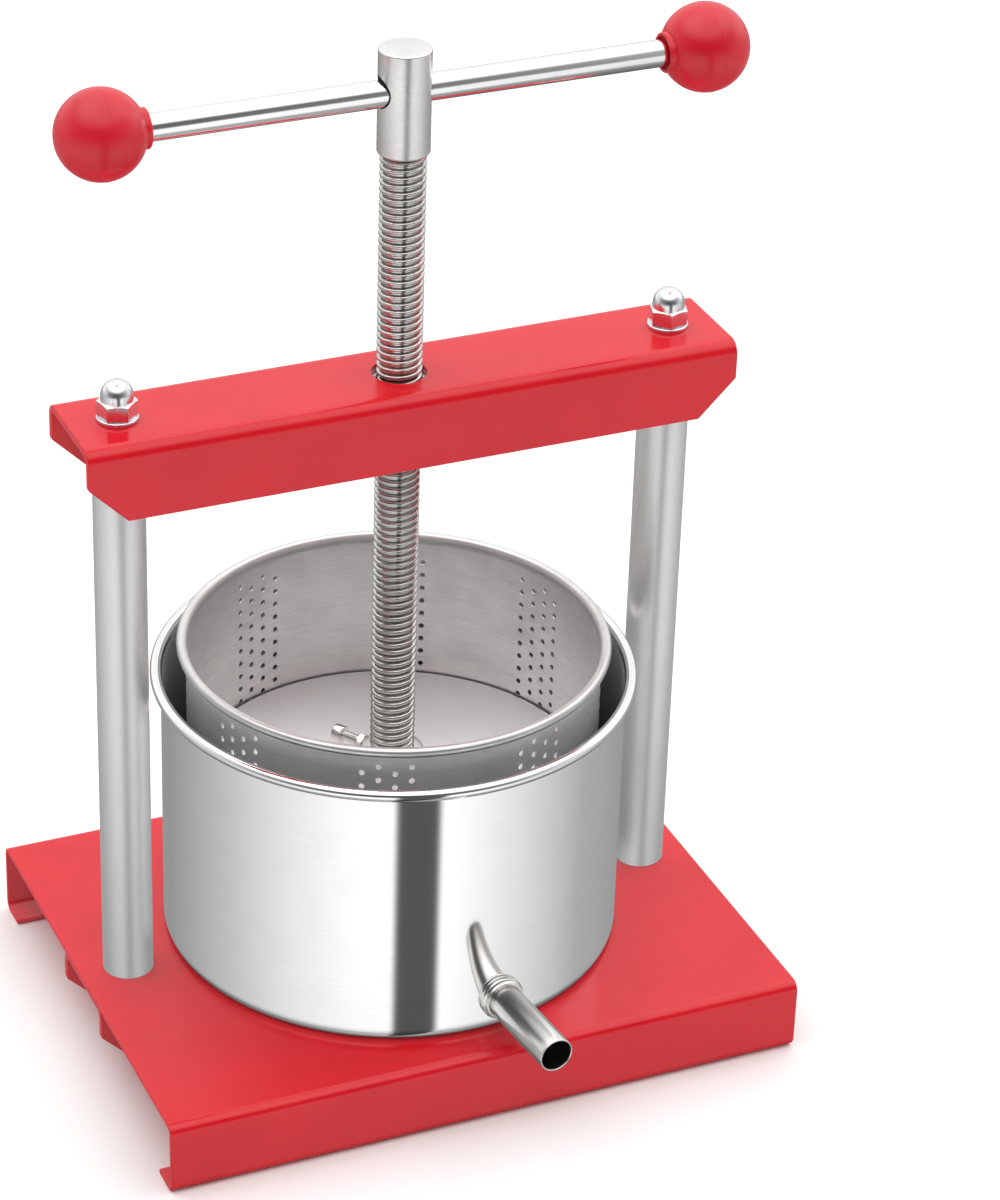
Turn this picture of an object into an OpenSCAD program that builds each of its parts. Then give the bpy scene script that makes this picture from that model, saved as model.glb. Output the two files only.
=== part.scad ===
// Basket wine press: a folded-steel stand with two bolted cross beams, a pot with
// a spout, a perforated basket, and a press disc driven by a screw with a T-handle.
// Origin: on the bench, under the screw's axis. X runs along the beams, -Y is the front.

/* [Stand] */
// Width of the base plate, left to right
base_w = 330; // [300:2:360]
// Distance from the screw's axis to the base plate's front face
base_front = 134; // [130:1:150]
// Distance from the screw's axis to the base plate's back face
base_back = 124; // [122:1:150]
// Height of the base plate's top above the bench
base_h = 38.5; // [34:0.5:44]
// Sheet thickness of the base plate
base_t = 2.5; // [1.5:0.5:3]
// Width of the base plate's inward lips
base_lip = 18; // [12:1:24]
// Length of the two cross beams
beam_l = 328; // [300:2:350]
// Width of the beams, front to back
beam_w = 58; // [50:1:64]
// Sheet thickness of the beams
beam_t = 4; // [3:0.5:5]
// Height of the 45 degree cut at the ends of a beam's flanges
beam_cut = 19; // [10:1:24]
// Height of the upper beam's flanges, with its web
upper_beam_h = 38; // [34:0.5:42]
// Height of the upper beam's top face above the bench
beam_top = 344.5; // [320:0.5:370]
// Distance between the two posts
post_gap = 280; // [270:1:284]
// Outside diameter of the posts
post_d = 25; // [20:1:28]
// Wall thickness of the posts
post_t = 2; // [1:0.5:3]

/* [Pot and basket] */
// Outside diameter of the pot's rolled rim
pot_rim_d = 239.4; // [234:0.2:240]
// Outside diameter of the pot's wall
pot_d = 228.8; // [226:0.2:229]
// Height of the middle of the pot's rim above the bench
pot_rim_z = 181.5; // [170:0.5:190]
// Outside diameter of the basket's rolled rim
basket_rim_d = 213; // [210:0.2:216]
// Outside diameter of the basket's wall
basket_d = 203.6; // [202:0.2:205]
// Height of the middle of the basket's rim above the bench
basket_rim_z = 197.4; // [192:0.2:200]
// Diameter of the basket's holes
hole_d = 2.8; // [2:0.1:3.5]
// Distance between two holes in one column
hole_pitch = 7.5; // [6:0.1:9]
// Outside diameter of the spout
spout_d = 17.5; // [14:0.5:20]
// Distance that the spout stands out from the pot's wall
spout_l = 54; // [30:1:60]
// Height of the spout's axis above the bench
spout_z = 56.4; // [54:0.2:60]
// Angle of the spout, to the right of straight ahead
spout_turn = 6; // [0:1:20]

/* [Screw and disc] */
// Outside diameter of the screw's thread
thread_d = 22; // [20:0.5:24]
// Distance between two turns of the thread
thread_pitch = 3.75; // [3:0.25:5]
// Height of the disc's top face above the bench
disc_top = 119; // [60:1:130]
// Diameter of the press disc
disc_d = 200; // [190:0.5:200]
// Thickness of the press disc
disc_t = 3; // [2:0.5:5]
// Outside diameter of the hub on the disc
hub_d = 31; // [28:0.5:34]
// Height of the hub on the disc
hub_h = 16.5; // [16:0.5:20]

/* [Handle] */
// Diameter of the screw's head
head_d = 25; // [24:0.5:28]
// Height of the underside of the screw's head above the bench
head_z = 457; // [440:1:470]
// Length of the screw's head
head_l = 51; // [46:1:60]
// Height of the handle bar's axis above the bench
bar_z = 487; // [485:0.5:490]
// Diameter of the handle bar
bar_d = 13; // [10:0.5:14]
// Distance from the bar's middle to the middle of a knob
knob_reach = 148.3; // [120:0.1:170]
// Diameter of the knobs
knob_d = 42.8; // [36:0.2:48]
// Distance that the bar is pushed to the right in its hole
bar_shift = 3; // [-20:1:20]

/* [Hidden] */
$fn = 96;

eps = 0.01;            // overlap of cutting tools past a face
fit = 0.05;            // radial clearance of parts that fit into each other
red = [0.80, 0.11, 0.16];
knob_red = [0.84, 0.13, 0.19];
steel = [0.78, 0.78, 0.79];
bright_steel = [0.86, 0.86, 0.87];

// Stand
base_bend = 5;         // outside bend radius of the base plate
beam_bend = 7;         // outside bend radius of the beams
lower_beam_h = base_h - base_t;         // its flanges reach the bench
bolt_d = 10;
bolt_hole_d = 10.6;
bolt_hex = 17;         // across the flats, also of the cap nuts
bolt_head_h = 6.4;
washer_d = 20;
washer_h = 2;
lower_web_z = lower_beam_h - beam_t;    // underside of the lower beam's web
upper_web_z = beam_top - beam_t;        // underside of the upper beam's web
cap_hex_h = 8;
cap_h = 18;            // whole height of a cap nut
cap_dome_d = 15.2;
cap_bore_h = 13;
cap_z = beam_top + washer_h;
screw_hole_d = thread_d + 4;            // clearance hole in the upper beam
nut_d = 38;            // bush that carries the screw's thread
nut_h = 27;

// Pot
pot_t = 1;
pot_corner = 5;        // outside radius of the bottom corner
pot_bead = 2.9;        // radius of the rolled rim
pot_r = pot_d / 2;
pot_floor = base_h + pot_t;
collar_d = 22.4;
collar_l = 4.5;
spout_t = 0.8;
spout_root_d = spout_d - 0.5;           // end inside the wall and the collar
spout_hole_d = spout_root_d + 2 * fit;

// Basket
basket_t = 0.8;
basket_corner = 4;
basket_bead = 2.5;
basket_r = basket_d / 2;
strips = 8;            // strips of holes round the wall
strip_turn = 21;       // angle of the first strip
columns = 4;           // columns of holes in a strip
column_turn = 4.45;    // angle between two columns
top_hole_z = basket_rim_z - 9.7;
hole_rows = 18;

// Screw and disc
journal_d = 16;        // smooth end of the screw, in the hub
spigot_l = 18;         // smooth end of the screw, in its head
groove_d = 12.6;       // groove that the retaining screw reaches into
groove_w = 5.6;
thread_depth = 1.9;
thread_z = disc_top + hub_h + 0.3;
keeper_z = disc_top + 12;               // height of the retaining screw's axis
keeper_turn = 122;     // angle of the retaining screw
keeper_d = 5;
keeper_tip = groove_d / 2 + 0.3;
keeper_head_r = 29.5;  // where the retaining screw's head starts
keeper_head_d = 8.5;
keeper_head_h = 5.5;
keeper_socket = 4;     // across the flats
lock_hex = 8;
lock_h = 3.2;

// Handle
bar_hole_d = bar_d + 2.4;
bar_drop = (bar_hole_d - bar_d) / 2 - 0.3;   // the bar lies low in its hole
bar_hole_z = bar_z + bar_drop;
knob_bore_end = 15;    // depth of a knob's bore past its middle
collar_ring_d = 19;
collar_ring_end = 21.6;
recess_d = 16;
recess_h = 2;

// Diameter over the corners of a hexagon with the given width across the flats
function corners(flats) = flats / cos(30);

// Rounded rectangle, left and bottom edges on the axes
module rounded_rect(w, h, r) {
    translate([r, 0]) square([w - 2 * r, h]);
    translate([0, r]) square([w, h - 2 * r]);
    for (x = [r, w - r], y = [r, h - r]) translate([x, y]) circle(r);
}

// Section of a folded sheet: a rounded box wall, w wide and h high
module folded_box(w, h, t, r) {
    difference() {
        rounded_rect(w, h, r);
        translate([t, t]) rounded_rect(w - 2 * t, h - 2 * t, r - t);
    }
}

// Stretches a section in Y and Z along X, centred on X = 0
module along_x(length) {
    rotate([90, 0, 90]) linear_extrude(length, center = true) children();
}

// Places children at both posts
module at_posts() {
    for (side = [-1, 1]) translate([side * post_gap / 2, 0, 0]) children();
}

// Hexagonal prism with its corners turned off at the top
module hex_block(flats, h) {
    intersection() {
        cylinder(d = corners(flats), h = h, $fn = 6);
        union() {
            cylinder(d = corners(flats) + 1, h = h - 1);
            translate([0, 0, h - 1]) cylinder(d1 = corners(flats), d2 = flats * 0.95, h = 1);
        }
    }
}

// U-shaped cross beam, h high, with its web on top
module cross_beam(top, h) {
    bottom = top - h;
    difference() {
        translate([0, -beam_w / 2, bottom]) along_x(beam_l) {
            difference() {
                translate([0, -beam_bend]) folded_box(beam_w, h + beam_bend, beam_t, beam_bend);
                translate([-1, -beam_bend - 1]) square([beam_w + 2, beam_bend + 1]);
            }
        }
        for (side = [-1, 1]) {
            translate([side * beam_l / 2, 0, bottom]) rotate([0, 45, 0])
                cube([beam_cut * sqrt(2), beam_w + 2, beam_cut * sqrt(2)], center = true);
        }
        at_posts() translate([0, 0, bottom]) cylinder(d = bolt_hole_d, h = h + 1);
    }
}

module base_plate() {
    depth = base_front + base_back;
    color(red) difference() {
        translate([0, -base_front, 0]) along_x(base_w) {
            difference() {
                folded_box(depth, base_h, base_t, base_bend);
                translate([base_lip, -1]) square([depth - 2 * base_lip, base_t + 2]);
            }
        }
        at_posts() translate([0, 0, base_h - base_t - 1]) cylinder(d = bolt_hole_d, h = base_t + 2);
    }
}

module lower_beam() {
    color(red) cross_beam(lower_beam_h, lower_beam_h);
}

module upper_beam() {
    color(red) difference() {
        cross_beam(beam_top, upper_beam_h);
        translate([0, 0, upper_web_z - 1]) cylinder(d = screw_hole_d, h = beam_t + 2);
    }
}

// Bush under the upper beam's web that carries the screw
module screw_nut() {
    color(steel) translate([0, 0, upper_web_z - nut_h]) difference() {
        union() {
            cylinder(d1 = nut_d - 2, d2 = nut_d, h = 1);
            translate([0, 0, 1]) cylinder(d = nut_d, h = nut_h - 1);
        }
        translate([0, 0, -1]) cylinder(d = thread_d + 2 * fit, h = nut_h + 2);
    }
}

// Tube between the base plate and the upper beam's web
module post(side) {
    length = upper_web_z - base_h;
    color(bright_steel) translate([side * post_gap / 2, 0, base_h]) difference() {
        cylinder(d = post_d, h = length);
        translate([0, 0, -1]) cylinder(d = post_d - 2 * post_t, h = length + 2);
    }
}

module post_left() {
    post(-1);
}

module post_right() {
    post(1);
}

// Long bolts through the lower beam, base plate, posts and upper beam
module tie_bolts() {
    seat = lower_web_z - washer_h;
    tip = cap_z + cap_bore_h - 1;
    color(steel) at_posts() {
        translate([0, 0, seat - bolt_head_h]) {
            translate([0, 0, bolt_head_h]) mirror([0, 0, 1]) hex_block(bolt_hex, bolt_head_h);
        }
        translate([0, 0, seat - eps]) cylinder(d = bolt_d - 2 * fit, h = tip - seat - 1 + eps);
        translate([0, 0, tip - 1]) cylinder(d1 = bolt_d - 2 * fit, d2 = bolt_d - 2, h = 1);
    }
}

// Flat washer at each post, standing at height z
module washers(z) {
    color(bright_steel) at_posts() translate([0, 0, z]) difference() {
        union() {
            cylinder(d = washer_d, h = washer_h - 0.4);
            translate([0, 0, washer_h - 0.4]) cylinder(d1 = washer_d, d2 = washer_d - 0.8, h = 0.4);
        }
        translate([0, 0, -1]) cylinder(d = bolt_hole_d, h = washer_h + 2);
    }
}

module lower_washers() {
    washers(lower_web_z - washer_h);
}

module upper_washers() {
    washers(beam_top);
}

// Domed nuts on the bolts
module cap_nuts() {
    dome_r = cap_dome_d / 2;
    color(bright_steel) at_posts() translate([0, 0, cap_z]) difference() {
        union() {
            hex_block(bolt_hex, cap_hex_h);
            cylinder(r = dome_r, h = cap_h - dome_r);
            translate([0, 0, cap_h - dome_r]) sphere(dome_r);
        }
        translate([0, 0, -1]) cylinder(d = bolt_d, h = cap_bore_h + 1);
    }
}

// Section of a pot in X and Z: floor, bottom corner, wall and solid rolled rim
module pot_section(r, t, corner, floor_z, rim_z, rim_r, bead) {
    translate([0, floor_z]) square([r - corner, t]);
    translate([r - t, floor_z + corner]) square([t, rim_z - floor_z - corner]);
    intersection() {
        translate([r - corner, floor_z + corner]) difference() {
            circle(corner);
            circle(corner - t);
        }
        translate([r - corner, floor_z]) square(corner);
    }
    translate([rim_r - bead, rim_z]) circle(bead);
}

// Moves children onto the spout's axis, with +Z pointing out of the pot
module at_spout(distance) {
    rotate([0, 0, spout_turn - 90]) translate([distance, 0, spout_z]) rotate([0, 90, 0]) children();
}

module pot() {
    color(bright_steel) difference() {
        rotate_extrude()
            pot_section(pot_r, pot_t, pot_corner, base_h, pot_rim_z, pot_rim_d / 2, pot_bead);
        at_spout(pot_r - 6) cylinder(d = spout_hole_d, h = 12);
    }
}

// Spout, with a slightly thinner root inside the pot's wall and the collar
module spout_tube() {
    root_l = pot_t + 1 + collar_l + 0.2;
    length = spout_l + pot_t + 1;
    color(steel) at_spout(pot_r - pot_t - 1) difference() {
        union() {
            cylinder(d = spout_root_d, h = root_l);
            translate([0, 0, root_l]) cylinder(d = spout_d, h = length - root_l);
        }
        translate([0, 0, -1]) cylinder(d = spout_d - 2 * spout_t, h = length + 2);
    }
}

// Ring at the spout's root, with a wide flange against the pot's wall
module spout_collar() {
    flange_l = 2.2;
    step_d = collar_d - 2;
    color(steel) difference() {
        at_spout(pot_r - 1) difference() {
            union() {
                cylinder(d = collar_d, h = flange_l + 1);
                translate([0, 0, flange_l + 1]) cylinder(d1 = collar_d - 1, d2 = step_d, h = 0.8);
                translate([0, 0, flange_l + 1]) cylinder(d = step_d - 0.6, h = collar_l - flange_l);
            }
            translate([0, 0, -1]) cylinder(d = spout_hole_d, h = collar_l + 3);
        }
        cylinder(r = pot_r + fit, h = pot_rim_z, $fn = 960);
    }
}

// Perforated basket standing on the pot's floor
module basket() {
    color(steel) difference() {
        rotate_extrude()
            pot_section(basket_r, basket_t, basket_corner, pot_floor, basket_rim_z,
                        basket_rim_d / 2, basket_bead);
        for (strip = [0 : strips - 1], column = [0 : columns - 1], row = [0 : hole_rows - 1]) {
            turn = strip_turn + strip * 360 / strips + (column - (columns - 1) / 2) * column_turn;
            stagger = ((column + 1) % 2) * hole_pitch / 2;
            rotate([0, 0, turn])
                translate([basket_r - 2, 0, top_hole_z - stagger - row * hole_pitch])
                rotate([0, 90, 0]) cylinder(d = hole_d, h = 3, $fn = 24);
        }
    }
}

module press_disc() {
    edge = 0.5;
    color(bright_steel) translate([0, 0, disc_top - disc_t]) {
        cylinder(d1 = disc_d - 2 * edge, d2 = disc_d, h = edge);
        translate([0, 0, edge]) cylinder(d = disc_d, h = disc_t - 2 * edge);
        translate([0, 0, disc_t - edge]) cylinder(d1 = disc_d, d2 = disc_d - 2 * edge, h = edge);
    }
}

// Moves children onto the retaining screw's axis, with +Z pointing outwards
module at_keeper(distance) {
    rotate([0, 0, keeper_turn]) translate([distance, 0, keeper_z]) rotate([0, 90, 0]) children();
}

// Hub on the disc, in which the end of the screw turns
module disc_hub() {
    color(steel) difference() {
        translate([0, 0, disc_top]) {
            cylinder(d = hub_d, h = hub_h - 1);
            translate([0, 0, hub_h - 1]) cylinder(d1 = hub_d, d2 = hub_d - 2, h = 1);
        }
        translate([0, 0, disc_top - 1]) cylinder(d = journal_d + 2 * fit, h = hub_h + 2);
        at_keeper(0) cylinder(d = keeper_d + 2 * fit, h = hub_d);
    }
}

// Socket-head screw whose tip holds the screw's end in the hub
module retaining_screw() {
    color(steel) {
        difference() {
            at_keeper(keeper_tip) {
                cylinder(d = keeper_d, h = keeper_head_r - keeper_tip);
                translate([0, 0, keeper_head_r - keeper_tip])
                    cylinder(d = keeper_head_d, h = keeper_head_h);
            }
            at_keeper(keeper_head_r + keeper_head_h - 2.5)
                cylinder(d = corners(keeper_socket), h = 3.5, $fn = 6);
        }
    }
}

module lock_nut() {
    color(bright_steel) at_keeper(hub_d / 2 + 1) difference() {
        hex_block(lock_hex, lock_h);
        translate([0, 0, -1]) cylinder(d = keeper_d + 2 * fit, h = lock_h + 2);
    }
}

// Outline of the screw: smooth ends, a groove in the lower one, and the thread's ridges
module screw_outline() {
    crest = thread_d / 2;
    root = crest - thread_depth;
    journal = journal_d / 2;
    turns = floor((head_z - thread_z) / thread_pitch);
    ridges = [for (i = [0 : turns - 1], corner = [0 : 3])
        [corner % 3 == 0 ? root : crest,
         thread_z + thread_pitch * (i + [0.08, 0.30, 0.70, 0.92][corner])]];
    polygon(concat(
        [[0, disc_top], [journal - 1, disc_top], [journal, disc_top + 1],
         [journal, keeper_z - groove_w / 2], [groove_d / 2, keeper_z - groove_w / 2],
         [groove_d / 2, keeper_z + groove_w / 2], [journal, keeper_z + groove_w / 2],
         [journal, thread_z], [root, thread_z]],
        ridges,
        [[root, head_z], [journal - fit, head_z], [journal - fit, head_z + spigot_l],
         [0, head_z + spigot_l]]));
}

module press_screw() {
    color(steel) rotate_extrude() screw_outline();
}

// Cross-drilled head that the handle bar slides in
module screw_head() {
    edge = 0.8;
    color(steel) difference() {
        translate([0, 0, head_z]) {
            cylinder(d1 = head_d - 2 * edge, d2 = head_d, h = edge);
            translate([0, 0, edge]) cylinder(d = head_d, h = head_l - 2 * edge);
            translate([0, 0, head_l - edge]) cylinder(d1 = head_d, d2 = head_d - 2 * edge, h = edge);
        }
        translate([0, 0, head_z - 1]) cylinder(d = journal_d, h = spigot_l + 1);
        translate([-head_d, 0, bar_hole_z]) rotate([0, 90, 0])
            cylinder(d = bar_hole_d, h = 2 * head_d);
    }
}

// Moves children to the middle of the handle bar, with +Z along the bar to the right
module at_bar() {
    translate([bar_shift, 0, bar_z]) rotate([0, 90, 0]) children();
}

module handle_bar() {
    length = 2 * (knob_reach + knob_bore_end) - 1;
    color(bright_steel) at_bar() cylinder(d = bar_d, h = length, center = true);
}

// Ball on the end of the bar, with a short collar round the bar
module knob(side) {
    color(knob_red) at_bar() mirror([0, 0, side < 0 ? 1 : 0]) translate([0, 0, knob_reach])
        mirror([0, 0, 1]) difference() {
            union() {
                sphere(knob_d / 2);
                cylinder(d = collar_ring_d, h = collar_ring_end);
            }
            translate([0, 0, -knob_bore_end]) cylinder(d = bar_d + 2 * fit, h = 2 * knob_d);
            translate([0, 0, collar_ring_end - recess_h]) cylinder(d = recess_d, h = recess_h + 1);
        }
}

module knob_left() {
    knob(-1);
}

module knob_right() {
    knob(1);
}

base_plate();
lower_beam();
upper_beam();
screw_nut();
post_left();
post_right();
tie_bolts();
lower_washers();
upper_washers();
cap_nuts();
pot();
spout_tube();
spout_collar();
basket();
press_disc();
disc_hub();
retaining_screw();
lock_nut();
press_screw();
screw_head();
handle_bar();
knob_left();
knob_right();
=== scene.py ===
"""Basket wine press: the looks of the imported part.

Shapes are built in millimetres in each piece's own frame, with its axis along local Z where it
has one, and turned into metres as the mesh is made. Places and sizes come from the CAD frame.
"""

import math

import bmesh
import bpy
from mathutils import Matrix, Vector

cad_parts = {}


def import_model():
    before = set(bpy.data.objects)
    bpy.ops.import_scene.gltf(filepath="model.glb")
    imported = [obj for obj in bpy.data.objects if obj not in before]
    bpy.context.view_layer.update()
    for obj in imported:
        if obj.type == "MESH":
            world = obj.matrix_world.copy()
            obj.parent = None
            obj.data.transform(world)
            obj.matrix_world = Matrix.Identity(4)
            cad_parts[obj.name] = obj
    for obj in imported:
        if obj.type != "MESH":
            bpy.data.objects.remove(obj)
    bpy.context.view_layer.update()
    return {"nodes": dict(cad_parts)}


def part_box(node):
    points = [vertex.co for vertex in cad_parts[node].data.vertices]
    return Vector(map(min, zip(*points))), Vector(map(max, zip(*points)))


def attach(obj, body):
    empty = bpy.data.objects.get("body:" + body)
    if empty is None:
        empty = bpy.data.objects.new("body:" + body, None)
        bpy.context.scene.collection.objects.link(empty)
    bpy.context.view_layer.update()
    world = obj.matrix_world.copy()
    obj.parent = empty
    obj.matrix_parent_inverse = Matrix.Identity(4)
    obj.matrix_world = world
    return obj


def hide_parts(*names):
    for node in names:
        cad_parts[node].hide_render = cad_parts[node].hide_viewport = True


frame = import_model()

MM = 0.001
scene = bpy.context.scene


# ---------------------------------------------------------------- measures from the frame

def low(node):
    """Lowest corner of a CAD node, in millimetres."""
    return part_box(node)[0] / MM


def high(node):
    """Highest corner of a CAD node, in millimetres."""
    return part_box(node)[1] / MM


def middle(node):
    return (low(node) + high(node)) / 2


# ---------------------------------------------------------------- mesh helpers

SMOOTH_ANGLE = math.radians(38)


def finish_mesh(obj, smooth_angle=SMOOTH_ANGLE):
    """Smooth shading that stays crisp at edges sharper than the angle."""
    mesh = obj.data
    mesh.polygons.foreach_set("use_smooth", [True] * len(mesh.polygons))
    mesh.set_sharp_from_angle(angle=smooth_angle)
    mesh.update()


def make_object(name, bm):
    """Turns a bmesh in millimetres into an object in metres."""
    bmesh.ops.scale(bm, vec=(MM, MM, MM), verts=bm.verts)
    mesh = bpy.data.meshes.new(name)
    bm.to_mesh(mesh)
    bm.free()
    obj = bpy.data.objects.new(name, mesh)
    scene.collection.objects.link(obj)
    return obj


def place(obj, position, axis=(0, 0, 1), turn=0.0):
    """Moves an object's origin to position, in millimetres, with its local Z along axis."""
    tilt = Vector(axis).normalized().to_track_quat("Z", "Y").to_matrix().to_4x4()
    if Vector(axis).normalized().z > 0.999999:
        tilt = Matrix.Identity(4)
    spin = Matrix.Rotation(turn, 4, "Z")
    obj.matrix_world = Matrix.Translation(Vector(position) * MM) @ tilt @ spin


def add_piece(obj, material, body, *nodes):
    """Gives a finished object its material and body, and hides the CAD nodes that it stands for."""
    obj.data.materials.clear()
    obj.data.materials.append(material)
    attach(obj, body)
    if nodes:
        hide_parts(*nodes)
    return obj


def rounded(points, radii, steps=5):
    """A polyline with its inner corners turned into arcs. radii is one value, or one per corner."""
    corners = len(points) - 2
    if not isinstance(radii, (list, tuple)):
        radii = [radii] * corners
    result = [tuple(points[0])]
    for before, here, after, radius in zip(points, points[1:], points[2:], radii):
        a, p, b = Vector(before), Vector(here), Vector(after)
        u, v = (a - p).normalized(), (b - p).normalized()
        half = math.acos(max(-1.0, min(1.0, u.dot(v)))) / 2
        if radius <= 0 or half > math.radians(88):
            result.append(tuple(p))
            continue
        reach = min(radius / math.tan(half), 0.48 * (a - p).length, 0.48 * (b - p).length)
        true_radius = reach * math.tan(half)
        centre = p + (u + v).normalized() * (true_radius / math.sin(half))
        start, end = p + u * reach - centre, p + v * reach - centre
        sweep = start.angle(end)
        for k in range(steps + 1):
            t = k / steps
            spoke = (start * math.sin((1 - t) * sweep) + end * math.sin(t * sweep)) / math.sin(sweep)
            result.append(tuple(centre + spoke))
    result.append(tuple(points[-1]))
    return result


def arc(centre, radius, start, end, steps):
    """Points on a circle, from one angle to another, in degrees."""
    points = []
    for k in range(steps + 1):
        angle = math.radians(start + (end - start) * k / steps)
        points.append((centre[0] + radius * math.cos(angle), centre[1] + radius * math.sin(angle)))
    return points


def even_turns(steps):
    return [2 * math.pi * k / steps for k in range(steps)]


def lathe(profile, turns, closed=False, bm=None):
    """Revolves (radius, height) points about Z through the given angles."""
    bm = bm or bmesh.new()
    count = len(turns)
    rings = []
    for radius, height in profile:
        if radius < 1e-6:
            rings.append([bm.verts.new((0, 0, height))])
        else:
            ring = [(radius * math.cos(t), radius * math.sin(t), height) for t in turns]
            rings.append([bm.verts.new(point) for point in ring])
    if closed:
        rings.append(rings[0])
    for ring, above in zip(rings, rings[1:]):
        for k in range(count):
            n = (k + 1) % count
            loop = [ring[k % len(ring)], ring[n % len(ring)], above[n % len(above)], above[k % len(above)]]
            loop = [v for i, v in enumerate(loop) if v not in loop[:i]]
            if len(loop) > 2:
                bm.faces.new(loop)
    return bm


def turned(name, profile, steps=96, closed=False):
    """A turned piece about its own Z axis."""
    bm = lathe(profile, even_turns(steps), closed)
    bmesh.ops.recalc_face_normals(bm, faces=bm.faces)
    obj = make_object(name, bm)
    finish_mesh(obj)
    return obj


def ring_profile(inner, outer, bottom, top, soft):
    """Section of a ring with softened edges, closed."""
    box = [(inner, bottom), (outer, bottom), (outer, top), (inner, top)]
    path = [((inner + outer) / 2, bottom)] + box[1:] + [box[0]] + [((inner + outer) / 2, bottom)]
    return rounded(path, soft, 3)[:-1]


def cut(obj, *cutters):
    """Cuts closed objects out of obj, and removes them."""
    for cutter in cutters:
        modifier = obj.modifiers.new("cut", "BOOLEAN")
        modifier.operation = "DIFFERENCE"
        modifier.solver = "EXACT"
        modifier.object = cutter
    bpy.context.view_layer.update()
    shaped = obj.evaluated_get(bpy.context.evaluated_depsgraph_get())
    mesh = bpy.data.meshes.new_from_object(shaped)
    obj.modifiers.clear()
    obj.data = mesh
    for cutter in cutters:
        bpy.data.objects.remove(cutter)


def rod(radius, bottom, top, steps=64):
    """A plain closed cylinder, used only to cut."""
    bm = lathe([(0, bottom), (radius, bottom), (radius, top), (0, top)], even_turns(steps))
    bmesh.ops.recalc_face_normals(bm, faces=bm.faces)
    return make_object("cutter", bm)


def soften(obj, width, segments=2, angle=40):
    """Rounds the sharp edges and keeps flat faces flat."""
    bevel = obj.modifiers.new("soft_edges", "BEVEL")
    bevel.width = width * MM
    bevel.segments = segments
    bevel.limit_method = "ANGLE"
    bevel.angle_limit = math.radians(angle)
    bevel.harden_normals = False
    weighted = obj.modifiers.new("flat_faces", "WEIGHTED_NORMAL")
    weighted.keep_sharp = False
    weighted.weight = 100


# ---------------------------------------------------------------- materials

def shader(name):
    """A new material, its node tree and its Principled shader."""
    material = bpy.data.materials.new(name)
    material.use_nodes = True
    tree = material.node_tree
    return material, tree, tree.nodes["Principled BSDF"]


def node(tree, kind, **values):
    """A shader node with named settings, and inputs given by name as in_<name>."""
    made = tree.nodes.new(kind)
    for key, value in values.items():
        if key.startswith("in_"):
            made.inputs[key[3:].replace("_", " ")].default_value = value
        else:
            setattr(made, key, value)
    return made


def maths(tree, operation, first, second=None):
    """A Math node. Each operand is a socket or a number."""
    made = node(tree, "ShaderNodeMath", operation=operation)
    for socket, value in zip(made.inputs, (first, second)):
        if value is None:
            continue
        if isinstance(value, (int, float)):
            socket.default_value = value
        else:
            tree.links.new(value, socket)
    return made.outputs[0]


def scaled(tree, vector, factors):
    """A vector socket multiplied by three factors."""
    made = node(tree, "ShaderNodeVectorMath", operation="MULTIPLY")
    made.inputs[1].default_value = factors
    tree.links.new(vector, made.inputs[0])
    return made.outputs[0]


def remap(tree, value, low_out, high_out, low_in=0.0, high_in=1.0):
    """A Map Range node, clamped to its range."""
    made = node(tree, "ShaderNodeMapRange")
    made.inputs["From Min"].default_value = low_in
    made.inputs["From Max"].default_value = high_in
    made.inputs["To Min"].default_value = low_out
    made.inputs["To Max"].default_value = high_out
    tree.links.new(value, made.inputs["Value"])
    return made.outputs["Result"]


def noise_of(tree, vector, scale=1.0, detail=2.0, roughness=0.5):
    made = node(tree, "ShaderNodeTexNoise", in_Scale=scale, in_Detail=detail, in_Roughness=roughness)
    tree.links.new(vector, made.inputs["Vector"])
    return made.outputs["Fac"]


def object_vector(tree):
    """Position in the piece's own frame, in metres."""
    return node(tree, "ShaderNodeTexCoord").outputs["Object"]


def radius_from(tree, x, y):
    """Length of a flat vector given by two sockets."""
    squares = maths(tree, "ADD", maths(tree, "MULTIPLY", x, x), maths(tree, "MULTIPLY", y, y))
    return maths(tree, "SQRT", squares)


def brushed_around(tree, across, along):
    """A vector that is stretched round local Z: fine across the brush lines, slow along them."""
    parts = node(tree, "ShaderNodeSeparateXYZ")
    tree.links.new(object_vector(tree), parts.inputs[0])
    x, y, z = parts.outputs
    radius = radius_from(tree, x, y)
    safe = maths(tree, "MAXIMUM", radius, 1e-5)
    joined = node(tree, "ShaderNodeCombineXYZ")
    tree.links.new(maths(tree, "MULTIPLY", maths(tree, "DIVIDE", x, safe), along), joined.inputs[0])
    tree.links.new(maths(tree, "MULTIPLY", maths(tree, "DIVIDE", y, safe), along), joined.inputs[1])
    tree.links.new(maths(tree, "MULTIPLY", maths(tree, "ADD", radius, z), across), joined.inputs[2])
    return joined.outputs[0]


def brushed_along(tree, across, along):
    """A vector that is stretched along local Z."""
    return scaled(tree, object_vector(tree), (across, across, along))


# A Mix node has one pair of inputs for each kind of value: these are its floats and its colours.
FLOAT_A, FLOAT_B, COLOUR_A, COLOUR_B, COLOUR_OUT = 2, 3, 6, 7, 2


def mixed_colours(tree, factor, first, second):
    made = node(tree, "ShaderNodeMix", data_type="RGBA")
    made.inputs[COLOUR_A].default_value = (*first, 1)
    made.inputs[COLOUR_B].default_value = (*second, 1)
    tree.links.new(factor, made.inputs[0])
    return made.outputs[COLOUR_OUT]


def bumped(tree, height, distance):
    made = node(tree, "ShaderNodeBump", in_Strength=1.0, in_Distance=distance)
    tree.links.new(height, made.inputs["Height"])
    return made.outputs["Normal"]


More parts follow.
